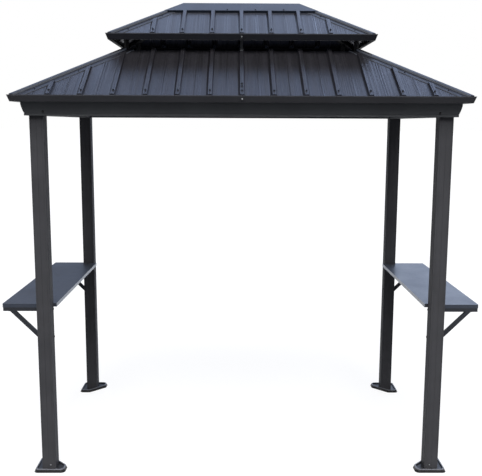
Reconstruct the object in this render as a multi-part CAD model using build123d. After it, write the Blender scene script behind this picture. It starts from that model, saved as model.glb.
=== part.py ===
from build123d import *
import math
import os

os.makedirs("parts", exist_ok=True)

# Posts and beams (millimetres)
post_spacing_x = 2140.0      # between post axes along the long side
post_spacing_y = 1260.0      # between post axes along the short side
post_side = 75.0
post_wall = 2.0
post_corner = 3.0            # rounding of the post's edges
flute_depth = 1.2            # grooves that run down each face of the post
flute_width = 3.5
flute_from_edge = 8.0        # outer edge of the post to the first groove
post_height = 1956.0         # floor to the underside of the beam

beam_wall = 2.5
beam_bead_out = 19.5         # bead at the beam's foot, beyond the post's face
beam_bead_height = 11.0
beam_quirk = 1.5             # narrow groove above the bead
beam_crown_out = 13.5        # how far the crown swells beyond the bead
beam_crown_height = 46.0
beam_crown_swell = 0.6       # share of the crown's depth that it reaches halfway up
beam_height = 102.0

# Foot plates and their covers
foot_thickness = 5.0
foot_gap = 3.0               # foot plate to the inside of its cover
cover_out = 78.0             # post axis to the cover's two outer edges
cover_in = 95.0              # post axis to its two inner edges
cover_cut = 101.0            # length cut off each side at the inner corner
cover_height = 18.0
cover_taper = 24.0           # degrees that the cover's sides lean in
cover_corner = 24.0
cover_rim = 6.0              # width of the raised rim on top
cover_well = 8.0             # depth of the sunk well round the post
cover_skin = 3.0
cover_bevel = 1.5            # bevel of the cover's top edge
cover_clearance = 0.8        # cover to post

# Roof
eave_overhang = 125.0        # post axis to the eave, on all four sides
eave_top = 2060.0            # top edge of the lower eave trim
front_pitch = 0.595          # rise for each unit of run on the long slopes
ridge_length = 692.0
upper_half_depth = 363.0     # centre to the front eave of the upper roof
vent_overlap = 77.0          # upper eave beyond the edge of the vent opening
roof_lift = 118.0            # height of the upper slopes above the lower ones
sheet = 1.2
pan_drop = 14.0              # pans below the top edge of the eave trim
rib_pitch = 165.0
rib_base = 30.0
rib_top = 20.0
rib_height = 13.0
rib_margin = 150.0           # corner of a slope to its outermost rib, at least
swage_base = 24.0            # shallow flat swage along the middle of each pan
swage_top = 16.0
swage_rise = 1.0
vent_fold = 24.0             # turned-down edge of the lower slopes at the vent

trim_sheet = 1.5
trim_height = 34.0
trim_lean = 12.0             # how far the trim's foot lies inside its top edge
trim_lip = 9.0               # flat lip on top of the trim
trim_ledge = 16.0            # ledge that the roof sheets rest on
upper_flange = 18.0          # flange under the upper trim

cap_wing = 42.0              # hip cap, from the hip line to its edge, in plan
cap_sheet = 2.4
cap_crest_half = 13.0
cap_crest_rise = 8.5         # raised middle of the hip cap above its wings
ridge_cap_half = 93.0        # ridge cap, from the ridge to its long edge, in plan
ridge_cap_rise = 12.0        # ridge cap above the pans
ridge_cap_sheet = 1.5

rafter_width = 38.0
rafter_height = 36.0
rafter_wall = 2.0
upper_rafter_height = 22.0
rafter_foot_in = 60.0        # lower eave to the rafter's foot, square to the eave
upper_rafter_in = 42.0       # upper eave to the end of the upper rafter
leg_side = 20.0              # short leg between lower and upper hip rafters
leg_inside = 9.0             # vent's edge to the leg
ridge_beam_width = 30.0
ridge_beam_height = 40.0
ridge_beam_past = 14.0       # how far the ridge beam runs past the hips

# Shelves and their brackets
shelf_top = 938.0
shelf_inside = 17.0          # shelf's inner edge beyond the posts' inner faces
shelf_width = 293.0
shelf_rim = 20.0
shelf_sheet = 1.5
shelf_corner = 6.0
shelf_past_post = 20.0       # outer part of the shelf beyond the post's inner face
shelf_notch_gap = 2.0
bracket_tube = 20.0
bracket_wall = 1.5
bracket_arm_short = 4.0      # shelf edge to the end of the bracket arm
strut_reach = 146.0          # post face to the middle of the strut at the arm

edge_gap = 1.0               # roof sheets and caps to the trim and to each other
seat = 0.3                   # clearance between pieces that rest on each other

# Sizes worked out from the ones above
axis_x = post_spacing_x / 2
axis_y = post_spacing_y / 2
half_post = post_side / 2
post_face_x = axis_x + half_post
post_inner_y = axis_y - half_post
eave_x = axis_x + eave_overhang
eave_y = axis_y + eave_overhang
ridge_half = ridge_length / 2
hip_slant = (eave_x - ridge_half) / eave_y
hip_step = math.hypot(hip_slant, 1.0)
side_pitch = front_pitch / hip_slant
cover_lean = math.tan(math.radians(cover_taper))
hollow_height = cover_height - cover_well - cover_skin
hollow_inset = cover_skin + hollow_height * cover_lean
plate_inset = hollow_inset + foot_gap
beam_foot_out = half_post + beam_bead_out
beam_face_out = beam_foot_out + beam_crown_out
beam_top = post_height + beam_height
upper_eave_top = eave_top + roof_lift + front_pitch * (eave_y - upper_half_depth)
vent_half_depth = upper_half_depth - vent_overlap    # centre to the front edge of the vent opening
shelf_inner = axis_x - half_post - shelf_inside
shelf_outer = shelf_inner + shelf_width
bracket_top = shelf_top - shelf_rim - seat
sheet_start = trim_lip + edge_gap                    # eave to the edge of the roof sheets
sheet_drop = sheet * math.hypot(1.0, front_pitch)    # thickness measured straight down
reach = 2 * eave_x           # longer than anything that it cuts

DEPTHS = ("front", "back")
ENDS = ("left", "right")


def save(shape, name):
    export_step(shape, f"parts/{name}.step")


def save_corners(shape, name):
    """Save a piece made for the back right corner once for each corner."""
    for depth in DEPTHS:
        for end in ENDS:
            piece = mirror(shape, Plane.XZ) if depth == "front" else shape
            piece = mirror(piece, Plane.YZ) if end == "left" else piece
            save(piece, f"{name}_{depth}_{end}")


def save_sides(back, right, name):
    """Save the back and right pieces of a ring together with their reflections."""
    save(back, f"{name}_back")
    save(mirror(back, Plane.XZ), f"{name}_front")
    save(right, f"{name}_right")
    save(mirror(right, Plane.YZ), f"{name}_left")


def face_of(points):
    return make_face(Polyline([tuple(p) for p in points], close=True))


def prism(points, low, high):
    """Upright block with the given outline in plan."""
    return Pos(0, 0, low) * extrude(face_of(points), high - low)


def column(points):
    """Upright block that runs from the floor to above the roof."""
    return prism(points, 0.0, 2 * eave_top)


def bent_sheet(points, thickness):
    """Outline of a sheet bent along an open line, on the left of its direction of travel."""
    inner = []
    for i, (x, y) in enumerate(points):
        near = [(points[k], points[k + 1]) for k in (i - 1, i) if 0 <= k < len(points) - 1]
        normals = []
        for (ax, ay), (bx, by) in near:
            length = math.hypot(bx - ax, by - ay)
            normals.append(((ay - by) / length, (bx - ax) / length))
        nx = sum(n[0] for n in normals) / len(normals)
        ny = sum(n[1] for n in normals) / len(normals)
        stretch = thickness / (nx * nx + ny * ny)
        inner.append((x + nx * stretch, y + ny * stretch))
    return face_of(list(points) + inner[::-1])


def hip_x(y):
    """Distance from the middle to the hip line, along the length, at a distance y across."""
    return ridge_half + hip_slant * y


def hip_height(y, eave_depth, trim_top):
    """Top of the pans on the hip line of a roof with the given half depth."""
    return trim_top - pan_drop + front_pitch * (eave_depth - y)


# Posts and feet

def foot_outline(inset, corner):
    """Square with its inner corner cut off, rounded, round the axis of the back right post."""
    out, into = cover_out - inset, cover_in - inset
    cut_line = cover_cut - 2 * cover_in + inset * math.sqrt(2)
    outline = face_of([
        (out, out), (-into, out), (-into, cut_line + into), (cut_line + into, -into), (out, -into)])
    return fillet(outline.vertices(), corner)


def post():
    section = Rectangle(post_side, post_side)
    section = fillet(section.vertices(), post_corner)
    outer_flute = half_post - flute_from_edge - flute_width / 2
    for turn in range(4):
        for along in (-outer_flute, 0.0, outer_flute):
            groove = Pos(along, half_post) * Rectangle(flute_width, 2 * flute_depth)
            section -= Rot(0, 0, 90 * turn) * groove
    section -= Rectangle(post_side - 2 * post_wall, post_side - 2 * post_wall)
    tube = extrude(section, post_height)
    plate = extrude(foot_outline(plate_inset, cover_corner / 2), foot_thickness)
    return Pos(axis_x, axis_y) * (plate + tube)


def foot_cover():
    low = foot_outline(0, cover_corner)
    high = Pos(0, 0, cover_height) * foot_outline(cover_height * cover_lean, cover_corner)
    cover = loft([low, high])
    cover = chamfer(cover.edges().group_by(Axis.Z)[-1], cover_bevel)
    well = foot_outline(cover_height * cover_lean + cover_rim, cover_corner - cover_rim)
    cover -= Pos(0, 0, cover_height - cover_well) * extrude(well, cover_height)
    cover -= extrude(foot_outline(hollow_inset, cover_corner / 2), hollow_height)
    opening = post_side + 2 * cover_clearance
    cover -= extrude(Rectangle(opening, opening), cover_height)
    return Pos(axis_x, axis_y) * cover


save_corners(post(), "post")
save_corners(foot_cover(), "foot_cover")


# Rings of four mitred pieces

def along_back(section, offset, height):
    """Run a section along the back. Its x points outwards, its y points up."""
    start = Plane(origin=(-reach, offset, height), x_dir=(0, 1, 0), z_dir=(1, 0, 0))
    return extrude(start * section, 2 * reach)


def along_right(section, offset, height):
    """Run a section along the right end."""
    start = Plane(origin=(offset, reach, height), x_dir=(1, 0, 0), z_dir=(0, -1, 0))
    return extrude(start * section, 2 * reach)


def mitre(long_piece, short_piece, corner_x, corner_y, depth):
    """Cut two runs at 45 degrees through the given corner."""
    far_x, far_y = corner_x + depth, corner_y + depth
    near_x, near_y = corner_x - depth, corner_y - depth
    back = column([(-far_x, far_y), (far_x, far_y), (near_x, near_y), (-near_x, near_y)])
    right = column([(far_x, -far_y), (far_x, far_y), (near_x, near_y), (near_x, -near_y)])
    return long_piece & back, short_piece & right


def beam_section():
    """Hollow beam with a bead at its foot and a swelling crown above it."""
    crown_foot = beam_bead_height + beam_quirk
    crown_head = crown_foot + beam_crown_height
    quirk_out = beam_foot_out - beam_quirk
    swell = beam_foot_out + beam_crown_swell * beam_crown_out
    lower = Polyline(
        (beam_foot_out, crown_foot), (quirk_out, crown_foot), (quirk_out, beam_bead_height),
        (beam_foot_out, beam_bead_height), (beam_foot_out, 0), (-half_post, 0),
        (-half_post, beam_height), (beam_face_out, beam_height), (beam_face_out, crown_head))
    crown = ThreePointArc(
        (beam_foot_out, crown_foot), (swell, (crown_foot + crown_head) / 2), (beam_face_out, crown_head))
    inside = face_of([
        (beam_wall - half_post, beam_wall), (quirk_out - beam_wall, beam_wall),
        (quirk_out - beam_wall, crown_foot), (beam_face_out - beam_wall, crown_head),
        (beam_face_out - beam_wall, beam_height - beam_wall), (beam_wall - half_post, beam_height - beam_wall)])
    return make_face(lower + crown) - inside


def trim_section(flange_end):
    """Leaning front, a lip and a ledge for the roof sheet on top, and a flange below."""
    ledge = front_pitch * sheet_start - pan_drop - sheet_drop - seat
    return bent_sheet([
        (flange_end, -trim_height), (-trim_lean, -trim_height), (0, 0), (-trim_lip, 0),
        (-trim_lip, ledge), (-trim_lip - trim_ledge, ledge)], trim_sheet)


beam_back = along_back(beam_section(), axis_y, post_height)
beam_right = along_right(beam_section(), axis_x, post_height)
save_sides(*mitre(beam_back, beam_right, axis_x, axis_y, eave_overhang), "beam")

flange_to_beam = beam_face_out + seat - eave_overhang
trim_back = along_back(trim_section(flange_to_beam), eave_y, eave_top)
trim_right = along_right(trim_section(flange_to_beam), eave_x, eave_top)
save_sides(*mitre(trim_back, trim_right, eave_x, eave_y, eave_overhang), "eave_trim")

upper_eave_x = hip_x(upper_half_depth)
flange_under = -trim_lean - upper_flange
trim_back = along_back(trim_section(flange_under), upper_half_depth, upper_eave_top)
trim_right = along_right(trim_section(flange_under), upper_eave_x, upper_eave_top)
save_sides(*mitre(trim_back, trim_right, upper_eave_x, upper_half_depth, eave_overhang), "upper_trim")


# Roof slopes

def back_plane(eave_depth, trim_top):
    """Plane across the back slope at its eave: x along the eave, y square to the pans."""
    return Plane(
        origin=(0, eave_depth, trim_top - pan_drop), x_dir=(1, 0, 0), z_dir=(0, -1, front_pitch))


def right_plane(eave_depth, trim_top):
    return Plane(
        origin=(hip_x(eave_depth), 0, trim_top - pan_drop), x_dir=(0, -1, 0), z_dir=(-1, 0, side_pitch))


def slab(plane, low, high):
    """Flat layer parallel to a slope, between two heights square to its pans."""
    layer = face_of([(-reach, low), (reach, low), (reach, high), (-reach, high)])
    return extrude(plane * layer, reach, both=True)


def rib_places(half_width):
    count = int((half_width - rib_margin) // rib_pitch)
    return [rib_pitch * k for k in range(-count, count + 1)]


def ribbed_face(places):
    """Section of the folded sheet, with its pans at height 0 and a swage between ribs."""
    points = [(reach, 0)]
    for place in reversed(places):
        if place < places[-1]:
            middle = place + rib_pitch / 2
            points += [(middle + swage_base / 2, 0), (middle + swage_top / 2, swage_rise)]
            points += [(middle - swage_top / 2, swage_rise), (middle - swage_base / 2, 0)]
        points += [(place + rib_base / 2, 0), (place + rib_top / 2, rib_height)]
        points += [(place - rib_top / 2, rib_height), (place - rib_base / 2, 0)]
    points.append((-reach, 0))
    return bent_sheet(points, sheet)


def rib_block(plane, place):
    """Solid rib, from which the closed ends are cut."""
    section = face_of([
        (place - rib_base / 2, -sheet), (place + rib_base / 2, -sheet), (place + rib_base / 2, 0),
        (place + rib_top / 2, rib_height), (place - rib_top / 2, rib_height), (place - rib_base / 2, 0)])
    return extrude(plane * section, reach, both=True)


def back_outline(low, high, inset):
    """Plan of the back slope between two distances from the ridge, inset from the hips."""
    shift = inset * hip_step
    return [(hip_x(high) - shift, high), (shift - hip_x(high), high),
            (shift - hip_x(low), low), (hip_x(low) - shift, low)]


def right_outline(low, high, inset):
    """Plan of the right slope; both distances are those of the back slope at the hip."""
    shift = inset * hip_step / hip_slant
    return [(hip_x(high), high - shift), (hip_x(high), shift - high),
            (hip_x(low), shift - low), (hip_x(low), low - shift)]


def slope(plane, outline, along, low, high, rib_low):
    """Folded roof sheet with closed rib ends and flat margins under the hip caps.

    The distances low, high and rib_low run from the ridge; along is the eave's axis.
    """
    stop = cap_wing + edge_gap
    zone = outline(rib_low, high, stop)
    places = rib_places(max(point[along] for point in outline(low, high, 0)))
    ribbed = extrude(plane * ribbed_face(places), reach, both=True)
    middle = column(zone)
    margin = (slab(plane, -sheet, 0) & column(outline(low, high, edge_gap / 2))) - middle
    piece = (ribbed & middle) + margin
    ends = middle - column(outline(rib_low + sheet, high - sheet, stop + sheet))
    for place in places:
        piece += rib_block(plane, place) & ends
    return piece


def lower_slope(plane, outline, along):
    """Lower slope with its edge at the vent turned down."""
    edge_low = vent_half_depth
    piece = slope(plane, outline, along, edge_low, eave_y - sheet_start, edge_low)
    edge = outline(edge_low, edge_low + sheet, cap_wing + edge_gap)
    top = hip_height(edge_low, eave_y, eave_top)
    return piece + (prism(edge, top - 2 * vent_fold, top) & slab(plane, -vent_fold, 0))


def upper_slope(plane, outline, along):
    rib_stop = ridge_cap_half + edge_gap
    return slope(plane, outline, along, edge_gap, upper_half_depth - sheet_start, rib_stop)


lower_back = back_plane(eave_y, eave_top)
lower_right = right_plane(eave_y, eave_top)
upper_back = back_plane(upper_half_depth, upper_eave_top)
upper_right = right_plane(upper_half_depth, upper_eave_top)
save_sides(
    lower_slope(lower_back, back_outline, 0), lower_slope(lower_right, right_outline, 1), "roof_lower")
save_sides(
    upper_slope(upper_back, back_outline, 0), upper_slope(upper_right, right_outline, 1), "roof_upper")


# Hip caps and ridge cap

def hip_strip(low, high, half):
    """Strip in plan along the hip line, cut square to the eaves and the ridge."""
    along_x, along_y = hip_slant / hip_step, 1 / hip_step
    mid_low = (hip_x(0), 0)
    mid_high = (hip_x(2 * eave_y), 2 * eave_y)
    corners = [(x + side * half * -along_y, y + side * half * along_x)
               for (x, y), side in ((mid_low, 1), (mid_low, -1), (mid_high, -1), (mid_high, 1))]
    window = [(hip_x(low), low), (-reach, low), (-reach, high),
              (hip_x(high), high), (hip_x(high), -reach), (hip_x(low), -reach)]
    return column(corners) & column(window)


def hip_halves():
    """The two sides of the hip line in plan: the back slope's and the right slope's."""
    far = 2 * eave_y
    back = column([(ridge_half, 0), (hip_x(far), far), (ridge_half - far, far), (ridge_half - far, 0)])
    right = column([(ridge_half, 0), (hip_x(far), far), (hip_x(far), -far), (ridge_half, -far)])
    return back, right


def hip_layer(back, right, low, high):
    """Folded layer over a hip, between two heights above the pans."""
    back_half, right_half = hip_halves()
    return (slab(back, low, high) & back_half) + (slab(right, low, high) & right_half)


def hip_cap(back, right, low, high):
    """Folded cap: two wings on the pans and a raised crest with a closed foot."""
    crest_top = seat + cap_sheet + cap_crest_rise
    wings = hip_layer(back, right, seat, seat + cap_sheet) & hip_strip(low, high, cap_wing)
    crest = hip_layer(back, right, seat, crest_top) & hip_strip(low, high, cap_crest_half)
    hollow = hip_layer(back, right, -seat, crest_top - cap_sheet)
    hollow &= hip_strip(low - edge_gap, high - cap_sheet, cap_crest_half - cap_sheet)
    return wings + crest - hollow


save_corners(
    hip_cap(lower_back, lower_right, vent_half_depth + edge_gap, eave_y - sheet_start), "hip_cap_lower")
save_corners(
    hip_cap(upper_back, upper_right, ridge_cap_half + edge_gap, upper_half_depth - sheet_start),
    "hip_cap_upper")


def all_round(back, right, height):
    """Everything under the four slopes raised by a height square to the pans."""
    under = column([(-reach, -reach), (reach, -reach), (reach, reach), (-reach, reach)])
    for plane, about in ((back, Plane.XZ), (right, Plane.YZ)):
        layer = slab(plane, -reach, height)
        under = under & layer & mirror(layer, about)
    return under


def ridge_cap():
    """Hipped cap whose turned-down edge stands on the pans."""
    def outline(inset):
        x, y = hip_x(ridge_cap_half) - inset, ridge_cap_half - inset
        return column([(-x, -y), (x, -y), (x, y), (-x, y)])

    top = seat + ridge_cap_rise
    cap = outline(0) & all_round(upper_back, upper_right, top)
    cap -= outline(ridge_cap_sheet) & all_round(upper_back, upper_right, top - ridge_cap_sheet)
    return cap - all_round(upper_back, upper_right, seat)


save(ridge_cap(), "ridge_cap")


# Frame under the roof

def hip_plane():
    """Upright plane through the hip line: x runs along it in plan, towards the ridge."""
    return Plane(
        origin=(eave_x, eave_y, 0), x_dir=(-hip_slant, -1, 0), z_dir=(-1, hip_slant, 0))


def rafter_top(y, eave_depth, trim_top):
    """Top of a hip rafter, whose edges meet the underside of the roof sheets."""
    fall = front_pitch * hip_slant / hip_step
    return hip_height(y, eave_depth, trim_top) - fall * rafter_width / 2 - sheet_drop - seat


def hip_tube(profile, width):
    """Hollow bar along the hip from its side view: distances from the ridge and heights."""
    side = face_of([((eave_y - y) * hip_step, z) for y, z in profile])
    tube = extrude(hip_plane() * side, width / 2, both=True)
    hollow = offset(side, -rafter_wall)
    return tube - extrude(hip_plane() * hollow, width / 2 - rafter_wall, both=True)


def hip_rafter():
    """Lower rafter seated on the beam, short leg at the vent, and upper rafter."""
    def low_top(y):
        return rafter_top(y, eave_y, eave_top)

    def high_top(y):
        return rafter_top(y, upper_half_depth, upper_eave_top)

    foot = beam_top + seat
    foot_out = eave_y - rafter_foot_in
    foot_in = foot_out - (foot + rafter_height - low_top(foot_out)) / front_pitch
    leg_out = vent_half_depth - leg_inside
    leg_in = leg_out - leg_side / hip_step
    lower = hip_tube([
        (foot_out, foot), (foot_in, foot), (leg_in, low_top(leg_in) - rafter_height),
        (leg_in, low_top(leg_in)), (foot_out, low_top(foot_out))], rafter_width)
    leg = hip_tube([
        (leg_out, low_top(leg_out) - rafter_wall), (leg_in, low_top(leg_in) - rafter_wall),
        (leg_in, high_top(leg_in) - upper_rafter_height + rafter_wall),
        (leg_out, high_top(leg_out) - upper_rafter_height + rafter_wall)], leg_side)
    head_out = upper_half_depth - upper_rafter_in
    upper = hip_tube([
        (head_out, high_top(head_out) - upper_rafter_height), (0, high_top(0) - upper_rafter_height),
        (0, high_top(0)), (head_out, high_top(head_out))], rafter_width)
    clear = ridge_beam_width / 2 + seat
    upper &= column([(0, clear), (eave_x, clear), (eave_x, eave_y), (0, eave_y)])
    return lower + leg + upper


def ridge_beam():
    half_length = ridge_half + ridge_beam_past
    top = hip_height(0, upper_half_depth, upper_eave_top)
    top -= front_pitch * ridge_beam_width / 2 + sheet_drop + seat
    middle = Pos(0, 0, top - ridge_beam_height / 2)
    bar = Box(2 * half_length, ridge_beam_width, ridge_beam_height)
    bar -= Box(2 * half_length, ridge_beam_width - 2 * rafter_wall, ridge_beam_height - 2 * rafter_wall)
    return middle * bar


save_corners(hip_rafter(), "hip_rafter")
save(ridge_beam(), "ridge_beam")


# Shelves between the posts at both ends

def shelf():
    """Folded tray, open below, that widens beyond the posts."""
    narrow = post_inner_y - seat
    wide = post_inner_y + shelf_past_post
    step = post_face_x + shelf_notch_gap
    half = [(shelf_outer, wide), (step, wide), (step, narrow), (shelf_inner, narrow)]
    outline = face_of(half + [(x, -y) for x, y in reversed(half)])
    outer = outline.vertices().group_by(Axis.X)[-1]
    rounded = fillet(outer, shelf_corner)
    tray = extrude(rounded, shelf_rim)
    tray -= extrude(offset(rounded, -shelf_sheet), shelf_rim - shelf_sheet)
    return Pos(0, 0, shelf_top - shelf_rim) * tray


def bracket():
    """Square tube arm on the post's outer face with a strut at 45 degrees below it."""
    middle = Plane(
        origin=(0, post_inner_y + bracket_tube / 2, 0), x_dir=(1, 0, 0), z_dir=(0, -1, 0))
    arm_end = shelf_outer - bracket_arm_short
    arm_low = bracket_top - bracket_tube
    strut_x = post_face_x + strut_reach
    strut_z = arm_low - strut_reach

    def bars(wall):
        across = (bracket_tube / 2 - wall) * math.sqrt(2)
        arm = face_of([
            (post_face_x, arm_low + wall), (arm_end - wall, arm_low + wall),
            (arm_end - wall, bracket_top - wall), (post_face_x, bracket_top - wall)])
        strut = face_of([
            (strut_x - across, arm_low), (strut_x + across, arm_low),
            (post_face_x, strut_z - across), (post_face_x, strut_z + across)])
        depth = bracket_tube / 2 - wall
        return extrude(middle * arm, depth, both=True), extrude(middle * strut, depth, both=True)

    arm, strut = bars(0.0)
    arm_inside, strut_inside = bars(bracket_wall)
    return arm - arm_inside + (strut - strut_inside)


save(shelf(), "shelf_right")
save(mirror(shelf(), Plane.YZ), "shelf_left")
save_corners(bracket(), "shelf_bracket")
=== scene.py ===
import math

import bmesh
import bpy
from bpy.props import FloatProperty, FloatVectorProperty, PointerProperty
from bpy.types import Operator, Panel, PropertyGroup
from mathutils import Matrix, Vector
from mathutils.bvhtree import BVHTree


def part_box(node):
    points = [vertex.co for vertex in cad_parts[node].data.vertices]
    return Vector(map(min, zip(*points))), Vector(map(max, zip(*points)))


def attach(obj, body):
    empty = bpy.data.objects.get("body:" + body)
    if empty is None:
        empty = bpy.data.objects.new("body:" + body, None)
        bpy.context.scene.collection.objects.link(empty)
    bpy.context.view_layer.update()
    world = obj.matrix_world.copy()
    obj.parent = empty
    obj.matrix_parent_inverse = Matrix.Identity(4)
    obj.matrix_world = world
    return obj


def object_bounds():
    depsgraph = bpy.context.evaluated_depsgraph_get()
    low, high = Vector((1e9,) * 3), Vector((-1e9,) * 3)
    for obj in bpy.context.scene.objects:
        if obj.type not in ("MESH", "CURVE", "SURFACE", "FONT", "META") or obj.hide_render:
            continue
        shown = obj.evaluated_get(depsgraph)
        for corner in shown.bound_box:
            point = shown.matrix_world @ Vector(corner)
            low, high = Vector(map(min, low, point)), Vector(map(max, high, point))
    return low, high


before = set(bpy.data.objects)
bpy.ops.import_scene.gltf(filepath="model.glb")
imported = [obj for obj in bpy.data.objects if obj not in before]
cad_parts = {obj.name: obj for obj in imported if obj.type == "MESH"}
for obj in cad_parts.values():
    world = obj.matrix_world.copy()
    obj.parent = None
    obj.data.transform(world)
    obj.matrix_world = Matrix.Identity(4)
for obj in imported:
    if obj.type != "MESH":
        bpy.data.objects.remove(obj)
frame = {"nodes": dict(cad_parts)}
CAD_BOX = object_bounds()

bl_info = {
    "name": "Metal gazebo",
    "version": (1, 0, 0),
    "blender": (4, 5, 0),
    "location": "View3D > Sidebar > Gazebo",
    "description": "Powder-coated finishes, screws and bolts, and a studio for the metal gazebo",
    "category": "Object",
}

MM = 0.001
WHITE = (1.0, 1.0, 1.0, 1.0)
BODY = "root"
SIDES = ("front", "back", "left", "right")
DEPTHS = ("front", "back")
CORNERS = ("front_left", "front_right", "back_left", "back_right")
TIERS = ("lower", "upper")
SAME_PLACE = 1e-5
SAME_LEVEL = 1e-6

# Places of fastenings that follow the CAD shapes
MIDDLE_RIB_SCREWS = (0.0, 40 * MM, 62 * MM)  # screws on the middle rib, inwards from the first
RIDGE_SCREW_IN = 12 * MM  # edge of the ridge cap to its screws
TRIM_SCREW_DOWN = 17 * MM  # top of a trim to the screw in its joint
PLATE_FACE = 1.3 * MM  # face of a trim to the foot of that screw
BESIDE_FLUTE = 6 * MM  # middle of a post to the flat beside its flute
ARM_BOLT_DOWN = 10 * MM  # top of a bracket to its upper bolt
STRUT_BOLT_UP = 14 * MM  # foot of a bracket to its lower bolt
SHELF_SCREW_IN = 30 * MM  # outer end of a bracket to the screw in the shelf
STAY_LEG = 6 * MM  # edge of the vent to the upright part of a stay
STAY_TOE = 34 * MM  # edge of the vent to the end of its foot
STAY_FLANGE = 22 * MM  # edge of the trim's flange to the end of its top
STAY_GAP = 0.3 * MM  # clear of the sheet and the flange
DOME_RINGS = ((0.30, 0.13), (0.16, 0.15), (0.06, 0.16))  # rise in radii and share it narrows by

# Finishes: depths of the bumps, how far the shade drifts, grains per metre and the tint of the sheen
PEEL_DEPTH = 0.1 * MM
SHEET_PEEL_DEPTH = 0.06 * MM
WAVE_DEPTH = 2.8 * MM
RIB_FOLD_DEPTH = 7.0 * MM
CREST_FOLD_DEPTH = 10.0 * MM
COAT_DRIFT = 0.12
SHEET_DRIFT = 0.28
NOISE_RANGE = (0.3, 0.7)  # where most of a noise lies
STREAK_SCALE = {"X": (70.0, 0.12, 0.12), "Y": (0.12, 70.0, 0.12)}
SHEET_GRAINS = 1400.0
MOULDED_GRAINS = 1800.0
SCREW_GRAINS = 2500.0
BLUE_SHEEN = (0.48, 0.63, 1.0, 1.0)


def colour(name, description, default):
    return FloatVectorProperty(
        name=name, description=description, default=default, subtype="COLOR", size=3, min=0.0, max=1.0)


def length(name, description, default):
    return FloatProperty(
        name=name, description=description, default=default, min=0.0, precision=4,
        subtype="DISTANCE", unit="LENGTH")


def share(name, description, default):
    return FloatProperty(
        name=name, description=description, default=default, min=0.0, max=1.0, subtype="FACTOR")


class GazeboFinish(PropertyGroup):
    """Colours and gloss of the paint and the metal."""

    post: colour("Posts", "Powder coat of the posts", (0.083, 0.084, 0.093))
    # Same coat as the posts on the real one, written paler as painted light against the shade under the
    # eaves
    beam: colour("Beams", "Powder coat of the beams and the vent stays", (0.122, 0.128, 0.138))
    # Same coat as the posts on the real one, written darker as painted shade
    trim: colour("Trims", "Paint of the lower eave trims", (0.056, 0.057, 0.064))
    # Same coat as the posts on the real one, written much darker as painted shade
    upper_trim: colour("Upper trims", "Paint of the upper eave trims", (0.026, 0.027, 0.034))
    # Painted highlight on the folded top edges of the trims and the rims of the foot covers
    painted_edge_highlight: colour("Edges", "Paint on the folded edges that catch the light", (0.15, 0.155, 0.18))
    roof: colour("Roof sheets", "Paint of the ribbed roof sheets", (0.020, 0.019, 0.022))
    cap: colour("Caps", "Paint of the hip caps, the ridge cap and the roof screws", (0.020, 0.020, 0.024))
    frame: colour("Roof frame", "Powder coat of the hip rafters and the ridge beam", (0.030, 0.030, 0.032))
    shelf: colour("Shelves", "Powder coat of the shelves and brackets", (0.048, 0.052, 0.062))
    foot: colour("Foot covers", "Moulded plastic of the foot covers", (0.014, 0.014, 0.016))
    # Painted light on the side strips of the shelves, which face the side lights
    painted_shelf_side_light: colour("Shelf sides", "Paler paint on the side strips of the shelves", (0.42, 0.45, 0.49))
    # Painted highlight on the upright sides of the hip crests
    crest_highlight: colour("Crests", "Paler paint on the sides of the raised hip crests", (0.15, 0.16, 0.18))
    # Near-black painted shade on the caps' faces that look along X or Y: their cut ends and the ridge
    # cap's edges
    painted_shade_end: colour("Cut ends", "Near-black paint on the cut ends of the caps", (0.002, 0.002, 0.002))
    bolt: colour("Bolts", "Black oxide of the frame bolts", (0.010, 0.010, 0.011))
    dust: colour("Dust", "Dust on the upward faces", (0.30, 0.29, 0.27))
    zinc: colour("Zinc", "Dull plated screws in the trims and at the feet", (0.34, 0.35, 0.37))
    rubber: colour("Sealing washers", "Rubber under the roof screws", (0.010, 0.010, 0.011))
    post_roughness: share("Post roughness", "Roughness of the powder coat", 0.58)
    roof_roughness: share("Roof roughness", "Roughness of the roof paint", 0.31)


class GazeboFastenings(PropertyGroup):
    """Sizes and places of the screws and bolts."""

    rib_pitch: length("Rib pitch", "Distance between the roof ribs", 165 * MM)
    rib_margin: length("Rib margin", "Corner of a slope to its outermost rib, at least", 150 * MM)
    screw_head: length("Roof screw head", "Width across the flats of a roof screw", 7 * MM)
    washer: length("Sealing washer", "Diameter of the washer under a roof screw", 12 * MM)
    screw_from_eave: length("Screw from eave", "Edge of a slope to its screws, in plan", 33 * MM)
    bolt_head: length("Bolt head", "Diameter of a button-head bolt", 13 * MM)
    small_head: length("Pan head", "Diameter of a pan-head screw", 9 * MM)
    cap_spacing: length("Cap screw spacing", "Distance between the screws along a hip cap", 240 * MM)
    cap_screw_out: length("Cap screw from hip", "Hip line to the screws on the cap's wings", 28 * MM)
    bolt_from_post: length("Beam bolt from post", "Post axis to the bolt in the beam", 42 * MM)
    bolt_up_beam: length("Beam bolt height", "Foot of the beam to the bolt", 20 * MM)
    foot_screw_height: length("Foot screw height", "Floor to the screw near the foot of a post", 28 * MM)
    foot_screw_in: length("Foot screw from axis", "Post axis to that screw, inwards", 9 * MM)
    joint_width: length("Trim joint", "Width of the plate over the joint of a trim", 32 * MM)
    joint_height: length("Trim joint height", "Height of that plate", 23 * MM)
    stay_width: length("Vent stay", "Width of the stay in the middle of a long vent", 14 * MM)
    stay_sheet: length("Vent stay sheet", "Thickness of the stay", 2.5 * MM)


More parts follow.
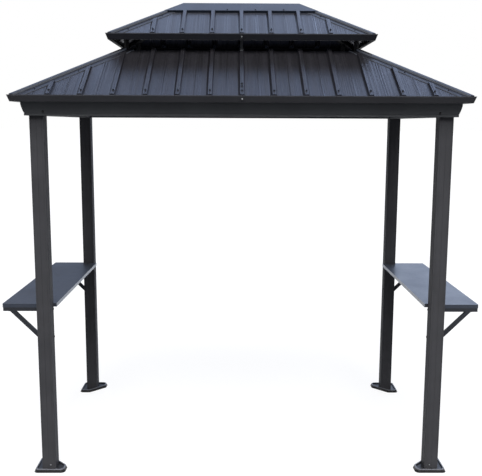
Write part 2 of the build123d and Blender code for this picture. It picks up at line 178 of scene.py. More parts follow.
class GazeboStage(PropertyGroup):
    """Camera, floor and light."""

    camera_place: FloatVectorProperty(
        name="Camera", description="Place of the camera", default=(-0.0367, -4.5696, 1.9196),
        subtype="TRANSLATION", unit="LENGTH")
    camera_pitch: FloatProperty(
        name="Pitch", description="How far the camera looks down", default=math.radians(8.806),
        subtype="ANGLE", unit="ROTATION")
    camera_yaw: FloatProperty(
        name="Yaw", description="How far the camera turns to the right", default=math.radians(0.504),
        subtype="ANGLE", unit="ROTATION")
    camera_roll: FloatProperty(
        name="Roll", description="How far the camera leans to the left", default=math.radians(0.235),
        subtype="ANGLE", unit="ROTATION")
    lens: FloatProperty(
        name="Focal length", description="Lens on a 36 mm sensor", default=55.23, unit="CAMERA")
    floor_glow: share("Floor glow", "How pale the floor looks in the object's shadow", 0.86)
    floor_shadow: share("Floor shadow", "How much of the light on the floor its shadows take away", 0.20)
    floor_bounce: share("Floor bounce", "Grey that the floor sends back up to the object", 0.12)
    room_top: share("Room overhead", "Light of the room from straight above", 0.22)
    room_side: share("Room at eye level", "Light of the room from the side", 0.05)
    left_share: share("Left side of the room", "Its light, compared with that of the right side", 0.40)


# Light of the room, and of each soft light: where it stands, its colour, how narrow and how strong it is
ROOM_TINT = (0.90, 0.95, 1.0, 1.0)
LAMP_TINT = (1.0, 0.985, 0.97, 1.0)
SKY_TINT = (0.58, 0.71, 1.0, 1.0)
HORIZON_TINT = (0.72, 0.82, 1.0, 1.0)
FLOOR_SIZE = 400.0
SOFT_LIGHTS = (
    ((0.02, -0.53, 0.84), LAMP_TINT, 25.0, 13.0),
    ((-0.26, 0.68, 0.67), SKY_TINT, 30.0, 2.9),
    ((0.30, 0.68, 0.67), SKY_TINT, 30.0, 3.3),
    ((0.55, 0.72, 0.42), SKY_TINT, 14.0, 0.9),
    ((0.25, 0.96, 0.10), HORIZON_TINT, 20.0, 1.4),
    ((0.97, -0.05, 0.25), LAMP_TINT, 6.0, 0.6),
    ((-0.97, -0.05, 0.25), LAMP_TINT, 6.0, 0.9),
)


# Shader nodes

def node(tree, kind, values=None, **settings):
    """New node with the given settings; values are its inputs, linked where they are sockets."""
    made = tree.nodes.new(kind)
    for key, value in settings.items():
        setattr(made, key, value)
    for socket, value in (values or {}).items():
        if isinstance(value, bpy.types.NodeSocket):
            tree.links.new(value, made.inputs[socket])
        else:
            made.inputs[socket].default_value = value
    return made


def group(name, inputs, outputs):
    """Empty node group with float or vector inputs and float outputs."""
    tree = bpy.data.node_groups.new(name, "ShaderNodeTree")
    for label, default in inputs.items():
        kind = "NodeSocketFloat" if isinstance(default, float) else "NodeSocketVector"
        socket = tree.interface.new_socket(label, in_out="INPUT", socket_type=kind)
        socket.default_value = default
    for label in outputs:
        tree.interface.new_socket(label, in_out="OUTPUT", socket_type="NodeSocketFloat")
    return tree, node(tree, "NodeGroupInput").outputs, node(tree, "NodeGroupOutput")


def use_group(tree, name, values):
    return node(tree, "ShaderNodeGroup", values, node_tree=bpy.data.node_groups[name]).outputs


def noise(tree, vector, scale, detail=2.0):
    return node(
        tree, "ShaderNodeTexNoise", {"Vector": vector, "Scale": scale, "Detail": detail}).outputs["Fac"]


def math_node(tree, operation, a, b):
    return node(tree, "ShaderNodeMath", {0: a, 1: b}, operation=operation).outputs[0]


def vector_node(tree, operation, a, b=(0.0, 0.0, 0.0), output="Vector"):
    return node(tree, "ShaderNodeVectorMath", {0: a, 1: b}, operation=operation).outputs[output]


def remap(tree, value, given, wanted=(0.0, 1.0), **settings):
    """Value carried from a given range to a wanted one, and kept inside it."""
    return node(tree, "ShaderNodeMapRange", {
        "Value": value, "From Min": given[0], "From Max": given[1],
        "To Min": wanted[0], "To Max": wanted[1]}, **settings).outputs[0]


def bump(tree, height, strength, distance, under=None):
    """Normal that a height gives, on top of another normal."""
    values = {"Height": height, "Strength": strength, "Distance": distance}
    if under is not None:
        values["Normal"] = under
    return node(tree, "ShaderNodeBump", values).outputs["Normal"]


def normal_parts(tree):
    normal = node(tree, "ShaderNodeNewGeometry").outputs["Normal"]
    return node(tree, "ShaderNodeSeparateXYZ", {0: normal}).outputs


def bend(tree, distance, foot, radius):
    """Height of a sheet that curves up to a foot line over a radius: 0 flat, 1 at the foot and beyond."""
    past = math_node(tree, "SUBTRACT", distance, foot)
    left = math_node(tree, "SUBTRACT", 1.0, math_node(tree, "DIVIDE", past, radius))
    return math_node(tree, "POWER", node(tree, "ShaderNodeClamp", {"Value": left}).outputs[0], 2.0)


def build_groups():
    """Effects that several finishes share."""
    tree, given, out = group(
        "Powder Grain", {"Position": (0.0, 0.0, 0.0), "Grains per Metre": 900.0}, ("Height", "Gloss"))
    fine = noise(tree, given["Position"], given["Grains per Metre"], 3.0)
    coarse_scale = math_node(tree, "MULTIPLY", given["Grains per Metre"], 0.22)
    coarse = noise(tree, given["Position"], coarse_scale)
    height = math_node(tree, "ADD", fine, coarse)
    patches = noise(tree, given["Position"], 5.0, 4.0)
    tree.links.new(height, out.inputs["Height"])
    tree.links.new(patches, out.inputs["Gloss"])

    tree, given, out = group("Rolling Streaks", {"Position": (0.0, 0.0, 0.0)}, ("Height", "Shade"))
    wide = noise(tree, given["Position"], 1.0, 3.0)
    fine = noise(tree, vector_node(tree, "MULTIPLY", given["Position"], (4.1, 4.1, 4.1)), 1.0)
    tree.links.new(math_node(tree, "ADD", wide, fine), out.inputs["Height"])
    tree.links.new(wide, out.inputs["Shade"])

    tree, given, out = group(
        "Rib Folds", {"Across": 0.0, "Pitch": 0.165, "Foot": 0.015, "Radius": 0.009}, ("Height",))
    turn = math_node(tree, "DIVIDE", given["Across"], given["Pitch"])
    near = math_node(tree, "SUBTRACT", turn, math_node(tree, "ROUND", turn, 0.0))
    offset = math_node(tree, "MULTIPLY", near, given["Pitch"])
    lap = bend(tree, math_node(tree, "MULTIPLY", offset, -1.0), given["Foot"], given["Radius"])
    lapped = math_node(tree, "MULTIPLY", lap, math_node(tree, "LESS_THAN", offset, 0.0))
    half = math_node(tree, "MULTIPLY", given["Pitch"], 0.5)
    from_middle = math_node(tree, "SUBTRACT", half, math_node(tree, "ABSOLUTE", offset, 0.0))
    crease = math_node(tree, "MULTIPLY", bend(tree, from_middle, 0.0, 0.004), 0.25)
    tree.links.new(math_node(tree, "SUBTRACT", lapped, crease), out.inputs["Height"])

    tree, given, out = group("Crest Fold", {
        "Position": (0.0, 0.0, 0.0), "Start": (0.5, 0.0, 0.0), "Square": (0.7, 0.7, 0.0), "Crest": 0.013,
        "Radius": 0.012}, ("Height",))
    quarter = vector_node(tree, "ABSOLUTE", given["Position"])
    away = vector_node(tree, "SUBTRACT", quarter, given["Start"])
    beside = vector_node(tree, "DOT_PRODUCT", away, given["Square"], "Value")
    fold = bend(tree, math_node(tree, "ABSOLUTE", beside, 0.0), given["Crest"], given["Radius"])
    tree.links.new(fold, out.inputs["Height"])

    # Mask of the painted highlight along a folded top edge, broken up by noise
    tree, given, out = group(
        "Top Edge", {"Position": (0.0, 0.0, 0.0), "Height": 2.0, "Width": 0.004}, ("Mask",))
    level = node(tree, "ShaderNodeSeparateXYZ", {0: given["Position"]}).outputs["Z"]
    below = math_node(tree, "DIVIDE", math_node(tree, "SUBTRACT", given["Height"], level), given["Width"])
    highlight_noise = noise(tree, given["Position"], 22.0, 4.0)
    ragged = math_node(tree, "ADD", below, math_node(tree, "SUBTRACT", highlight_noise, 0.5))
    tree.links.new(remap(tree, ragged, (0.9, 1.2), (1.0, 0.0)), out.inputs["Mask"])

    tree, given, out = group("Settled Dust", {"Position": (0.0, 0.0, 0.0), "Amount": 0.2}, ("Mask",))
    facing = remap(tree, normal_parts(tree)["Z"], (0.5, 1.0))
    specks = noise(tree, given["Position"], 60.0, 8.0)
    mask = math_node(tree, "MULTIPLY", facing, remap(tree, specks, (0.42, 0.75)))
    tree.links.new(math_node(tree, "MULTIPLY", mask, given["Amount"]), out.inputs["Mask"])


def new_material(name):
    material = bpy.data.materials.new(name)
    material.use_nodes = True
    tree = material.node_tree
    position = node(tree, "ShaderNodeTexCoord").outputs["Object"]
    return material, tree, tree.nodes["Principled BSDF"], position


def shaded(tree, base, factor, depth):
    """Base colour that drifts darker and lighter by a share of itself."""
    dark = tuple(c * (1 - depth) for c in base) + (1.0,)
    light = tuple(c * (1 + depth) for c in base) + (1.0,)
    ramp = node(tree, "ShaderNodeValToRGB", {"Fac": factor})
    for element, place, shade in zip(ramp.color_ramp.elements, NOISE_RANGE, (dark, light)):
        element.position = place
        element.color = shade
    return ramp.outputs["Color"]


def mixed(tree, mask, paint, other):
    """Paint, and another colour where the mask is 1."""
    mix = node(
        tree, "ShaderNodeMix", {"Factor": mask, 6: paint, 7: tuple(other) + (1.0,)}, data_type="RGBA")
    return mix.outputs[2]


def dusted(tree, paint, position, amount):
    mask = use_group(tree, "Settled Dust", {"Position": position, "Amount": amount})["Mask"]
    return mixed(tree, mask, paint, bpy.context.scene.gazebo_finish.dust)


def edged(tree, paint, position, top, edge):
    """Painted highlight along the folded edge at a height."""
    mask = use_group(tree, "Top Edge", {"Position": position, "Height": top})["Mask"]
    return mixed(tree, mask, paint, edge)


def upright(tree, paint, other):
    """Another paint on upright faces: the painted highlight on the sides of the hip crests."""
    up = math_node(tree, "ABSOLUTE", normal_parts(tree)["Z"], 0.0)
    return mixed(tree, remap(tree, up, (0.15, 0.3), (1.0, 0.0)), paint, other)


def ended(tree, paint, axes, end):
    """Another paint on the faces that look straight along the given axes: painted shade on the cap ends,
    painted light on the shelf sides.
    """
    part = normal_parts(tree)
    facing = 0.0
    for axis in axes:
        facing = math_node(tree, "MAXIMUM", math_node(tree, "ABSOLUTE", part[axis], 0.0), facing)
    return mixed(tree, remap(tree, facing, (0.85, 0.95)), paint, end)


def connect(tree, bsdf, paint, roughness, normal, specular, tint):
    """Paint, gloss and bump into the shader; sheen and its tint are the same all over."""
    tree.links.new(paint, bsdf.inputs["Base Color"])
    tree.links.new(roughness, bsdf.inputs["Roughness"])
    tree.links.new(normal, bsdf.inputs["Normal"])
    bsdf.inputs["Specular IOR Level"].default_value = specular
    bsdf.inputs["Specular Tint"].default_value = tint


def powder_coat(
        name, base, roughness, specular=0.06, grains=900.0, dust=0.0, tint=WHITE, top=None, edge=None,
        axes="", end=None, crest_highlight=None, hip=None):
    """Baked powder coat: fine orange peel, faint patches of gloss and a drift in shade.

    It can have dust, a painted highlight along the folded edge at the height top, a painted highlight on
    upright faces, painted shade or painted light on the faces along the given axes, and a fold beside the
    hip line.
    """
    material, tree, bsdf, position = new_material(name)
    grain = use_group(tree, "Powder Grain", {"Position": position, "Grains per Metre": grains})
    paint = shaded(tree, base, grain["Gloss"], COAT_DRIFT)
    if dust:
        paint = dusted(tree, paint, position, dust)
    # Painted highlight along the folded top edge
    if top is not None:
        paint = edged(tree, paint, position, top, edge)
    # Painted highlight on upright faces, for the sides of the crests
    if crest_highlight is not None:
        paint = upright(tree, paint, crest_highlight)
    # Painted shade or painted light on the faces that look along the axes
    if axes:
        paint = ended(tree, paint, axes, end)
    gloss = remap(tree, grain["Gloss"], NOISE_RANGE, (roughness - 0.05, roughness + 0.06))
    normal = bump(tree, grain["Height"], 0.35, PEEL_DEPTH)
    if hip:
        start, square = hip
        fold = use_group(tree, "Crest Fold", {"Position": position, "Start": start, "Square": square})
        normal = bump(tree, fold["Height"], 1.0, CREST_FOLD_DEPTH, normal)
    connect(tree, bsdf, paint, gloss, normal, specular, tint)
    return material


def sheet_paint(name, base, roughness, across, specular=0.5, dust=0.0, tint=WHITE):
    """Smooth paint on rolled sheet: streaks down the slope, laps beside the ribs and creases between."""
    material, tree, bsdf, position = new_material(name)
    stretched = node(
        tree, "ShaderNodeMapping", {"Vector": position, "Scale": STREAK_SCALE[across]}).outputs[0]
    streaks = use_group(tree, "Rolling Streaks", {"Position": stretched})
    grain = use_group(tree, "Powder Grain", {"Position": position, "Grains per Metre": SHEET_GRAINS})
    paint = shaded(tree, base, streaks["Shade"], SHEET_DRIFT)
    if dust:
        paint = dusted(tree, paint, position, dust)
    gloss = remap(tree, streaks["Shade"], NOISE_RANGE, (roughness - 0.04, roughness + 0.05))
    normal = bump(tree, grain["Height"], 0.25, SHEET_PEEL_DEPTH)
    normal = bump(tree, streaks["Height"], 0.6, WAVE_DEPTH, normal)
    fold = use_group(tree, "Rib Folds", {
        "Across": node(tree, "ShaderNodeSeparateXYZ", {0: position}).outputs[across],
        "Pitch": bpy.context.scene.gazebo_fastenings.rib_pitch})
    normal = bump(tree, fold["Height"], 1.0, RIB_FOLD_DEPTH, normal)
    connect(tree, bsdf, paint, gloss, normal, specular, tint)
    return material


def plated_steel(name, base, roughness=0.32):
    """Dull zinc-plated steel with a soft cloudy grain."""
    material, tree, bsdf, position = new_material(name)
    cloud = noise(tree, position, 350.0, 4.0)
    tree.links.new(shaded(tree, base, cloud, 0.18), bsdf.inputs["Base Color"])
    gloss = remap(tree, cloud, (0.0, 1.0), (roughness - 0.08, roughness + 0.14))
    tree.links.new(gloss, bsdf.inputs["Roughness"])
    bsdf.inputs["Metallic"].default_value = 1.0
    return material


def rubber(name, base):
    """Matt black rubber with fine pores."""
    material, tree, bsdf, position = new_material(name)
    pores = noise(tree, position, 1500.0, 3.0)
    tree.links.new(shaded(tree, base, pores, 0.25), bsdf.inputs["Base Color"])
    tree.links.new(bump(tree, pores, 0.4, PEEL_DEPTH), bsdf.inputs["Normal"])
    bsdf.inputs["Roughness"].default_value = 0.7
    return material


def finish_nodes(material, *names):
    """Give CAD nodes their material."""
    for name in names:
        mesh = frame["nodes"][name].data
        mesh.materials.clear()
        mesh.materials.append(material)


# Modelling

def start_piece():
    """Leave edit mode and deselect everything, ready for a new primitive."""
    if bpy.context.object and bpy.context.object.mode != "OBJECT":
        bpy.ops.object.mode_set(mode="OBJECT")
    bpy.ops.object.select_all(action="DESELECT")


def pick_faces(chosen):
    """In edit mode, select only the faces for which chosen(face) is true."""
    mesh = bmesh.from_edit_mesh(bpy.context.object.data)
    bpy.ops.mesh.select_all(action="DESELECT")
    for face in mesh.faces:
        face.select_set(chosen(face))
    bmesh.update_edit_mesh(bpy.context.object.data)


def pick_edges(chosen):
    """In edit mode, select only the edges for which chosen(edge) is true."""
    mesh = bmesh.from_edit_mesh(bpy.context.object.data)
    bpy.ops.mesh.select_all(action="DESELECT")
    for edge in mesh.edges:
        if chosen(edge):
            edge.select_set(True)
    mesh.select_flush_mode()
    bmesh.update_edit_mesh(bpy.context.object.data)


def top_face(face):
    """True for a face that looks up from the top of the mesh in edit mode."""
    highest = max(v.co.z for f in bmesh.from_edit_mesh(bpy.context.object.data).faces for v in f.verts)
    return face.normal.z > 0.99 and face.calc_center_median().z > highest - SAME_LEVEL


def disc(name, radius, height, sides, base=0.0):
    """Upright cylinder that stands at a height, opened in edit mode."""
    start_piece()
    bpy.ops.mesh.primitive_cylinder_add(
        vertices=sides, radius=radius, depth=height, location=(0, 0, base + height / 2))
    piece = bpy.context.object
    piece.name = name
    bpy.ops.object.transform_apply(location=True, rotation=True, scale=True)
    bpy.ops.object.mode_set(mode="EDIT")
    bpy.ops.mesh.select_mode(type="FACE")
    return piece


def leave_edit(angle=35):
    """Back to object mode, with edges sharper than the angle in degrees kept sharp."""
    bpy.ops.object.mode_set(mode="OBJECT")
    bpy.ops.object.shade_smooth_by_angle(angle=math.radians(angle))


def join(name, pieces):
    """One piece from several, with the name on its object and its mesh."""
    start_piece()
    for piece in pieces:
        piece.select_set(True)
    bpy.context.view_layer.objects.active = pieces[0]
    if len(pieces) > 1:
        bpy.ops.object.join()
    piece = bpy.context.object
    piece.name = name
    piece.data.name = name
    return piece


def roof_screw(sizes, paint, seal):
    """Hexagon head with a pressed flange on a rubber washer; its foot is at the origin."""
    radius = sizes.washer / 2
    seal_rise, flange_rise, head_rise = 1.6 * MM, 0.9 * MM, 4.2 * MM
    washer = disc("washer", radius, seal_rise, 14)
    pick_faces(top_face)
    bpy.ops.mesh.bevel(offset=0.5 * MM, segments=2)
    leave_edit()
    washer.data.materials.append(seal)

    flange = disc("flange", radius * 0.86, flange_rise, 14, seal_rise)
    pick_faces(top_face)
    bpy.ops.mesh.inset(thickness=radius * 0.25)
    bpy.ops.transform.translate(value=(0, 0, 0.7 * MM))
    leave_edit()
    flange.data.materials.append(paint)

    across_corners = sizes.screw_head / 2 / math.cos(math.pi / 6)
    head = disc("head", across_corners, head_rise, 6, seal_rise + flange_rise)
    pick_faces(top_face)
    bpy.ops.mesh.inset(thickness=0.7 * MM)
    bpy.ops.transform.translate(value=(0, 0, 0.5 * MM))
    bpy.ops.mesh.inset(thickness=1.2 * MM)
    bpy.ops.transform.translate(value=(0, 0, -0.4 * MM))
    leave_edit()
    head.data.materials.append(paint)
    return join("roof_screw", [washer, flange, head])


def button_bolt(name, diameter, material, sides=20):
    """Domed head with a sunk socket; its foot is at the origin."""
    radius = diameter / 2
    head = disc(name, radius, 0.22 * radius, sides)
    pick_faces(top_face)
    for rise, step in DOME_RINGS:
        bpy.ops.mesh.extrude_region_move(TRANSFORM_OT_translate={"value": (0, 0, rise * radius)})
        bpy.ops.transform.resize(value=(1 - step, 1 - step, 1))
    bpy.ops.mesh.inset(thickness=0.16 * radius)
    bpy.ops.mesh.extrude_region_move(TRANSFORM_OT_translate={"value": (0, 0, -0.42 * radius)})
    leave_edit(40)
    head.data.materials.append(material)
    return head


def joint_plate(sizes, material):
    """Thin plate, its long edges rounded and its middle slightly raised."""
    start_piece()
    thick = 0.9 * MM
    bpy.ops.mesh.primitive_cube_add(size=1.0, location=(0, 0, thick / 2))
    plate = bpy.context.object
    plate.scale = (sizes.joint_width, sizes.joint_height, thick)
    bpy.ops.object.transform_apply(location=True, rotation=True, scale=True)
    bpy.ops.object.mode_set(mode="EDIT")
    pick_faces(top_face)
    bpy.ops.mesh.inset(thickness=1.2 * MM)
    bpy.ops.transform.translate(value=(0, 0, 0.2 * MM))
    bpy.ops.mesh.inset(thickness=6.0 * MM)
    bpy.ops.transform.translate(value=(0, 0, 0.3 * MM))
    leave_edit()
    plate.data.materials.append(material)
    return plate


def vent_stay(side, sizes, material):
    """Bent strip from the middle rib, up through the vent, to the flange of the upper trim."""
    sign = -1 if side == "front" else 1
    half = sizes.stay_width / 2
    vent_edge = abs(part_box(f"roof_lower_{side}")[1 if sign < 0 else 0].y)
    flange_in = abs(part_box(f"upper_trim_{side}")[1 if sign < 0 else 0].y)
    leg = sign * (vent_edge + STAY_LEG)
    toe = sign * (vent_edge + STAY_TOE)
    flange_edge = sign * (flange_in + STAY_FLANGE)
    toe_point, _ = down_on(f"roof_lower_{side}", 0.0, toe)
    leg_point, _ = down_on(f"roof_lower_{side}", 0.0, leg)
    under, _ = surface(f"upper_trim_{side}", (0.0, flange_edge, toe_point.z), (0, 0, 1))
    top = under.z - sizes.stay_sheet - STAY_GAP
    bends = ((toe, toe_point.z + STAY_GAP), (leg, leg_point.z + STAY_GAP), (leg, top), (flange_edge, top))
    start_piece()
    bpy.ops.mesh.primitive_plane_add(size=1.0)
    stay = bpy.context.object
    stay.name = f"vent_stay_{side}"
    bpy.ops.object.mode_set(mode="EDIT")
    bpy.ops.mesh.select_mode(type="EDGE")
    mesh = bmesh.from_edit_mesh(stay.data)
    for vertex in mesh.verts:
        y, z = bends[0] if vertex.co.y < 0 else bends[1]
        vertex.co = (half if vertex.co.x > 0 else -half, y, z)
    bmesh.update_edit_mesh(stay.data)
    for (y0, z0), (y1, z1) in zip(bends[1:], bends[2:]):
        pick_edges(lambda edge: all(
            abs(v.co.y - y0) < SAME_PLACE and abs(v.co.z - z0) < SAME_PLACE for v in edge.verts))
        bpy.ops.mesh.extrude_region_move(TRANSFORM_OT_translate={"value": (0, y1 - y0, z1 - z0)})
    bpy.ops.object.mode_set(mode="OBJECT")
    solidify = stay.modifiers.new("sheet", "SOLIDIFY")
    solidify.thickness = sizes.stay_sheet
    solidify.offset = 1.0 if sign < 0 else -1.0
    bpy.ops.object.modifier_apply(modifier=solidify.name)
    bevel = stay.modifiers.new("edges", "BEVEL")
    bevel.width = 0.5 * MM
    bevel.segments = 2
    bpy.ops.object.modifier_apply(modifier=bevel.name)
    stay.data.materials.append(material)
    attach(stay, BODY)
    return stay


def place_copies(name, template, places):
    """One piece from copies of a template, each seated at a point and turned to its normal."""
    copies = []
    for point, normal in places:
        piece = template.copy()
        piece.data = template.data.copy()
        bpy.context.scene.collection.objects.link(piece)
        turn = normal.to_track_quat("Z", "Y").to_matrix().to_4x4()
        piece.data.transform(Matrix.Translation(point) @ turn)
        copies.append(piece)
    piece = join(name, copies)
    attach(piece, BODY)
    return piece


def discard(template):
    bpy.data.objects.remove(template)


def surface(name, start, direction):
    """Point and outward normal where a line meets a CAD node."""
    mesh = frame["nodes"][name].data
    tree = BVHTree.FromPolygons([v.co for v in mesh.vertices], [p.vertices for p in mesh.polygons])
    point, normal, _, _ = tree.ray_cast(Vector(start), Vector(direction))
    if point is None:
        raise RuntimeError(f"no surface of {name} lies from {start} along {direction}")
    return point, normal


def down_on(name, x, y):
    """Point and normal of a CAD node straight below a place in plan."""
    return surface(name, (x, y, CAD_BOX[1].z + 1.0), (0, 0, -1))


def hip_line():
    """Point on a hip in plan, its direction and the one square to it, where x and y are positive."""
    upper_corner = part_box("upper_trim_back")[1].xy
    along = (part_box("eave_trim_back")[1].xy - upper_corner).normalized()
    return upper_corner, along, Vector((-along.y, along.x))


def rib_offsets(node_name, axis, sizes):
    """Places of a slope's ribs along its eave."""
    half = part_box(node_name)[1][axis]
    count = int((half - sizes.rib_margin) // sizes.rib_pitch)
    return [k * sizes.rib_pitch for k in range(-count, count + 1)]


class GAZEBO_OT_posts(Operator):
    """Powder-coat the posts and give their foot covers a moulded grain"""

    bl_idname = "gazebo.posts"
    bl_label = "Finish posts"
    bl_options = {"REGISTER", "UNDO"}

    def execute(self, context):
        finish = context.scene.gazebo_finish
        coat = powder_coat("post_coat", finish.post, finish.post_roughness)
        finish_nodes(coat, *(f"post_{corner}" for corner in CORNERS))
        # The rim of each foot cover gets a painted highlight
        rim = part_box("foot_cover_front_left")[1].z
        plastic = powder_coat(
            "foot_plastic", finish.foot, 0.36, 0.3, MOULDED_GRAINS, dust=0.06, top=rim,
            edge=finish.painted_edge_highlight)
        finish_nodes(plastic, *(f"foot_cover_{corner}" for corner in CORNERS))
        return {"FINISHED"}


class GAZEBO_OT_beams(Operator):
    """Powder-coat the beams, the eave trims and the roof frame"""

    bl_idname = "gazebo.beams"
    bl_label = "Finish beams and trims"
    bl_options = {"REGISTER", "UNDO"}

    def execute(self, context):
        finish = context.scene.gazebo_finish
        beam = powder_coat("beam_coat", finish.beam, finish.post_roughness)
        finish_nodes(beam, *(f"beam_{side}" for side in SIDES))
        # The trims' colours are copies of the post coat, darkened as painted shade
        for name, base in (("eave", finish.trim), ("upper", finish.upper_trim)):
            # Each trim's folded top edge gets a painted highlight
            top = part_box(f"{name}_trim_front")[1].z
            trim = powder_coat(f"{name}_trim_coat", base, 0.50, top=top, edge=finish.painted_edge_highlight)
            finish_nodes(trim, *(f"{name}_trim_{side}" for side in SIDES))
        bars = powder_coat("frame_coat", finish.frame, 0.60)
        finish_nodes(bars, "ridge_beam", *(f"hip_rafter_{corner}" for corner in CORNERS))
        return {"FINISHED"}


class GAZEBO_OT_roof(Operator):
    """Paint the ribbed sheets, the hip caps and the ridge cap"""

    bl_idname = "gazebo.roof"
    bl_label = "Finish roof"
    bl_options = {"REGISTER", "UNDO"}

    def execute(self, context):
        finish = context.scene.gazebo_finish
        for across, sides in (("X", ("front", "back")), ("Y", ("left", "right"))):
            paint = sheet_paint(
                f"roof_paint_{across}", finish.roof, finish.roof_roughness, across, dust=0.05,
                tint=BLUE_SHEEN)
            finish_nodes(paint, *(f"roof_{tier}_{side}" for tier in TIERS for side in sides))
        # Caps: near-black painted shade on their faces that look along X or Y
        folded = {
            "specular": 0.5, "grains": SHEET_GRAINS, "dust": 0.05, "tint": BLUE_SHEEN, "axes": "XY",
            "end": finish.painted_shade_end}
        ridge = powder_coat("ridge_paint", finish.cap, finish.roof_roughness, **folded)
        finish_nodes(ridge, "ridge_cap")
        start, _, square = hip_line()
        hip = (start.to_3d(), square.to_3d())
        # Hip caps: painted highlight on the crests' sides and painted shade on their cut ends
        cap = powder_coat(
            "cap_paint", finish.cap, finish.roof_roughness, crest_highlight=finish.crest_highlight, hip=hip, **folded)
        finish_nodes(cap, *(f"hip_cap_{tier}_{corner}" for tier in TIERS for corner in CORNERS))
        return {"FINISHED"}


class GAZEBO_OT_shelves(Operator):
    """Powder-coat the two shelves and their brackets, with painted light on the shelves' side strips"""

    bl_idname = "gazebo.shelves"
    bl_label = "Finish shelves"
    bl_options = {"REGISTER", "UNDO"}

    def execute(self, context):
        finish = context.scene.gazebo_finish
        # The shelves' side strips, facing along X, get painted light
        top = powder_coat(
            "shelf_coat", finish.shelf, 0.36, 0.5, dust=0.08, tint=BLUE_SHEEN, axes="X",
            end=finish.painted_shelf_side_light)
        finish_nodes(top, "shelf_left", "shelf_right")
        bracket = powder_coat("bracket_coat", finish.shelf, 0.45)
        finish_nodes(bracket, *(f"shelf_bracket_{corner}" for corner in CORNERS))
        return {"FINISHED"}


class GAZEBO_OT_roof_screws(Operator):
    """Drive a sealed screw into every rib near the eave"""

    bl_idname = "gazebo.roof_screws"
    bl_label = "Roof screws"
    bl_options = {"REGISTER", "UNDO"}

    def execute(self, context):
        finish = context.scene.gazebo_finish
        sizes = context.scene.gazebo_fastenings
        paint = powder_coat("screw_paint", finish.cap, 0.30, 0.5, SCREW_GRAINS, tint=BLUE_SHEEN)
        template = roof_screw(sizes, paint, rubber("screw_rubber", finish.rubber))
        for tier in TIERS:
            for side in SIDES:
                name = f"roof_{tier}_{side}"
                along, out = (0, 1) if side in DEPTHS else (1, 0)
                low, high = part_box(name)
                sign = -1 if side in ("front", "left") else 1
                edge = low[out] if sign < 0 else high[out]
                places = []
                for offset in rib_offsets(name, along, sizes):
                    middle = tier == "lower" and side in DEPTHS and offset == 0.0
                    for inward in MIDDLE_RIB_SCREWS if middle else (0.0,):
                        spot = [0.0, 0.0]
                        spot[along] = offset
                        spot[out] = edge - sign * (sizes.screw_from_eave + inward)
                        places.append(down_on(name, *spot))
                place_copies(f"roof_screws_{tier}_{side}", template, places)
        discard(template)
        return {"FINISHED"}


class GAZEBO_OT_cap_screws(Operator):
    """Screw the hip caps and the ridge cap to the sheets"""

    bl_idname = "gazebo.cap_screws"
    bl_label = "Cap screws"
    bl_options = {"REGISTER", "UNDO"}

    def execute(self, context):
        sizes = context.scene.gazebo_fastenings
        paint = bpy.data.materials["screw_paint"]
        template = button_bolt("cap_screw", sizes.small_head, paint, 14)
        upper_corner, along, square = hip_line()
        for tier in TIERS:
            for corner in CORNERS:
                name = f"hip_cap_{tier}_{corner}"
                low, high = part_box(name)
                near, far = sorted((abs(low.y), abs(high.y)))
                start = upper_corner + along * (near - upper_corner.y) / along.y
                span = (far - near) / along.y
                count = max(2, round(span / sizes.cap_spacing))
                places = []
                for k in range(count):
                    for side in (-1, 1):
                        spot = start + along * span * (k + 0.5) / count
                        spot += square * side * sizes.cap_screw_out
                        x = -spot.x if corner.endswith("left") else spot.x
                        y = -spot.y if corner.startswith("front") else spot.y
                        places.append(down_on(name, x, y))
                place_copies(f"hip_cap_screws_{tier}_{corner}", template, places)
        end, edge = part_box("ridge_cap")[1].xy - Vector((RIDGE_SCREW_IN, RIDGE_SCREW_IN))
        places = []
        for side in (-1, 1):
            for offset in rib_offsets("ridge_cap", 0, sizes):
                places.append(down_on("ridge_cap", offset + sizes.rib_pitch / 2, side * edge))
            places.append(down_on("ridge_cap", side * end, 0.0))
        place_copies("ridge_cap_screws", template, places)
        discard(template)
        return {"FINISHED"}


class GAZEBO_OT_trim_joints(Operator):
    """Cover the joint in the middle of each long trim with a plate and a plated screw"""

    bl_idname = "gazebo.trim_joints"
    bl_label = "Trim joints"
    bl_options = {"REGISTER", "UNDO"}

    def execute(self, context):
        finish = context.scene.gazebo_finish
        sizes = context.scene.gazebo_fastenings
        steel = plated_steel("zinc", finish.zinc)
        screw = button_bolt("trim_screw", sizes.small_head, steel, 16)
        for name in ("eave", "upper"):
            plate = joint_plate(sizes, bpy.data.materials[f"{name}_trim_coat"])
            for side in DEPTHS:
                trim = f"{name}_trim_{side}"
                sign = -1 if side == "front" else 1
                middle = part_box(trim)[1].z - TRIM_SCREW_DOWN
                point, normal = surface(trim, (0.0, sign * 2.0, middle), (0, -sign, 0))
                place_copies(f"{name}_joint_{side}", plate, [(point, normal)])
                seat = point + normal * PLATE_FACE
                place_copies(f"{name}_joint_screw_{side}", screw, [(seat, normal)])
            discard(plate)
        discard(screw)
        return {"FINISHED"}


